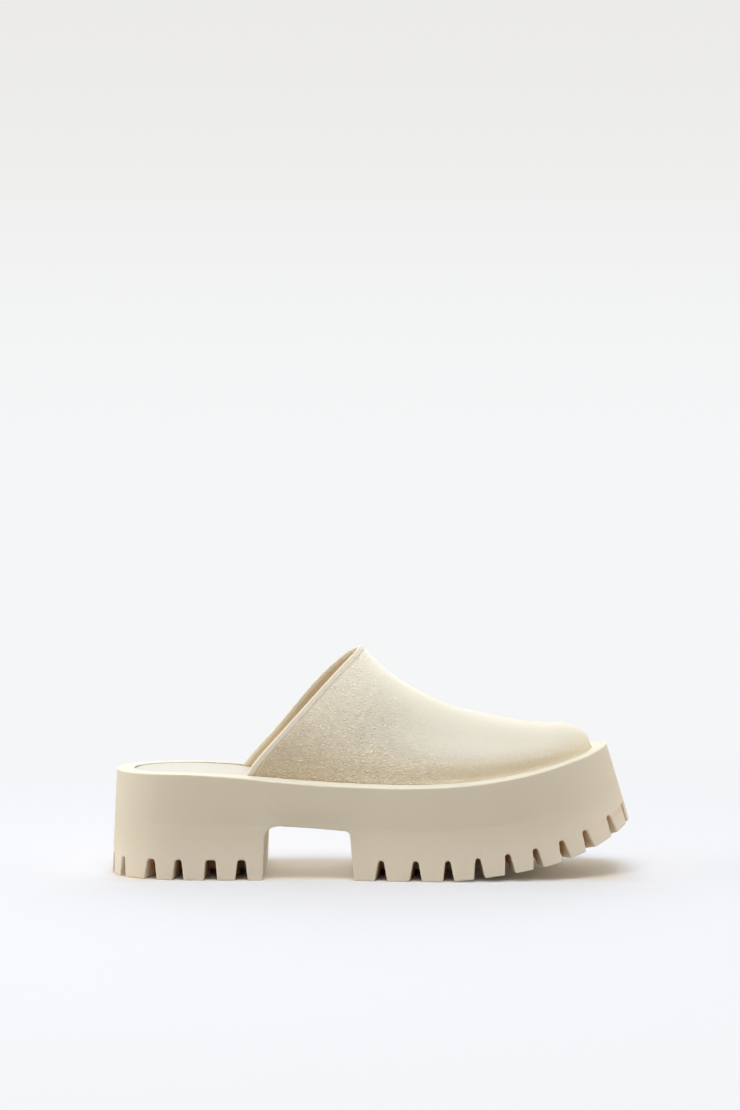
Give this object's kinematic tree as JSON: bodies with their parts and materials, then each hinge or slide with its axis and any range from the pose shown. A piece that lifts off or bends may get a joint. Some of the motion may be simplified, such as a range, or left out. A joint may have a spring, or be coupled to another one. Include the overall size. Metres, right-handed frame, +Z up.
{
  "type": "mule",
  "caption": "Backless platform mule for the right foot: grained closed-toe upper with a slanted collar, set in a deep lugged sole that is cut out under the arch.",
  "frame": {"origin": "on the floor, under the middle of the shoe's length and width", "axes": "+X from the heel to the toe, +Y to the inner (big toe) side, +Z up from the floor"},
  "size_m": [0.2798, 0.0984, 0.1219],
  "materials": {
    "sole": "smooth matte moulded foam rubber, cream",
    "insole": "smooth matte foam, paler cream",
    "upper": "fine pebbled grain with a soft sheen, cream, smooth band along the collar"
  },
  "bodies": {
    "root": {"sole": "sole", "insole": "insole", "upper": "upper"}
  },
  "joints": []
}
